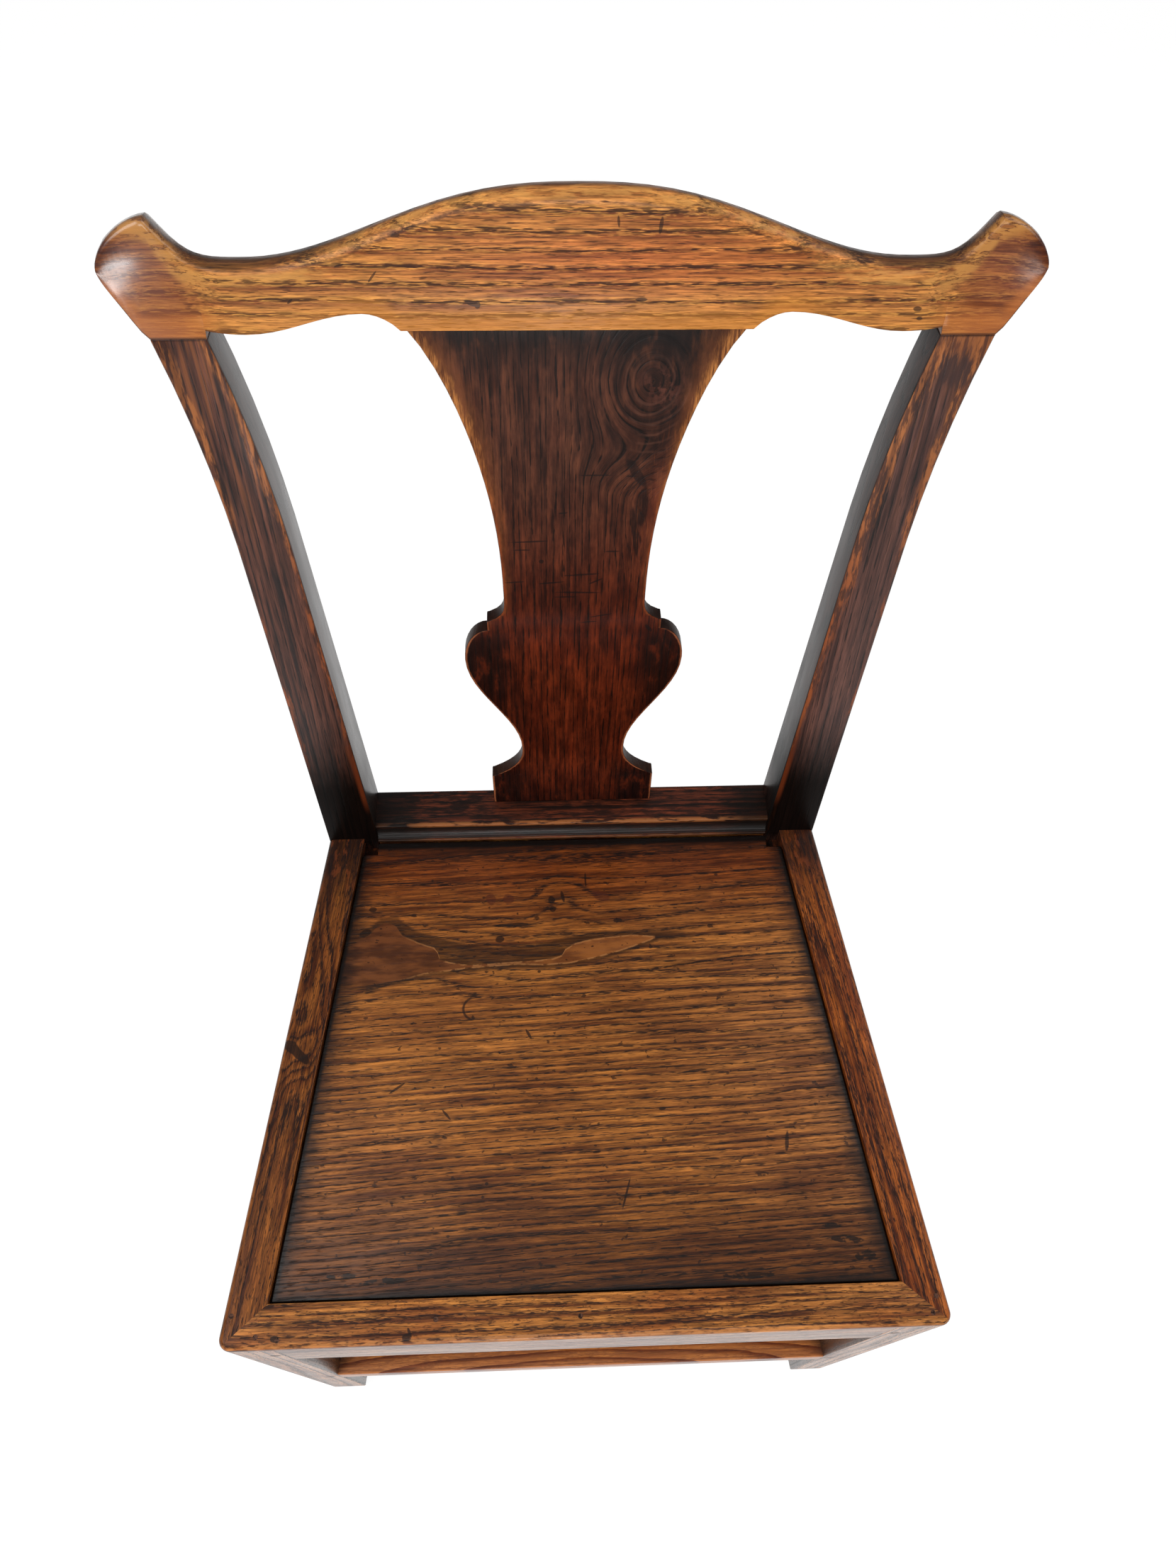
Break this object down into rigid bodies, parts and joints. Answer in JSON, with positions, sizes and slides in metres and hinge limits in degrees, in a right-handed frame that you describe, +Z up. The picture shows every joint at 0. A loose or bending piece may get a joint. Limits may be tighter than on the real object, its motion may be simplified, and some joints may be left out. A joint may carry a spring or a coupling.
{
  "type": "dining chair",
  "caption": "Solid wood dining chair with a yoke crest rail, solid vase splat in a moulded shoe, square legs, box stretchers and a lift-out board seat.",
  "frame": {"origin": "on the floor, under the middle of the chair's bounding box", "axes": "+Z up; the chair faces -Y; +X is to the right of someone who looks at the chair's front from -Y, so the left pieces are on -X"},
  "size_m": [0.4978, 0.4866, 0.9581],
  "materials": {
    "golden_wood": "waxed satin, open dark grain along X",
    "dark_wood": "waxed satin, dark with worn orange edges",
    "rail_wood": "waxed satin, worn",
    "seat_wood": "waxed satin, figured, grime at the edges",
    "bare_wood": "unfinished secondary wood",
    "peg_wood": "dark end grain",
    "nail_iron": "dull, rusted"
  },
  "bodies": {
    "frame": {"crest_rail": "golden_wood", "left_back_post": "dark_wood", "right_back_post": "dark_wood", "splat": "dark_wood", "shoe": "dark_wood", "rear_seat_rail": "rail_wood", "front_seat_rail": "rail_wood", "left_seat_rail": "rail_wood", "right_seat_rail": "rail_wood", "left_front_leg": "rail_wood", "right_front_leg": "rail_wood", "front_stretcher": "rail_wood", "left_stretcher": "rail_wood", "right_stretcher": "rail_wood", "rear_stretcher": "rail_wood", "front_left_block": "bare_wood", "front_right_block": "bare_wood", "rear_left_block": "bare_wood", "rear_right_block": "bare_wood", "seat_bearer": "bare_wood", "rail_pegs": "peg_wood", "stretcher_pegs": "peg_wood", "rim_nails": "nail_iron"},
    "seat": {"seat_board": "seat_wood"}
  },
  "joints": [
    {"name": "seat_lift", "type": "slide", "parent": "frame", "child": "seat", "axis": [0, 0, 1], "range_m": [0, 0.1]}
  ]
}
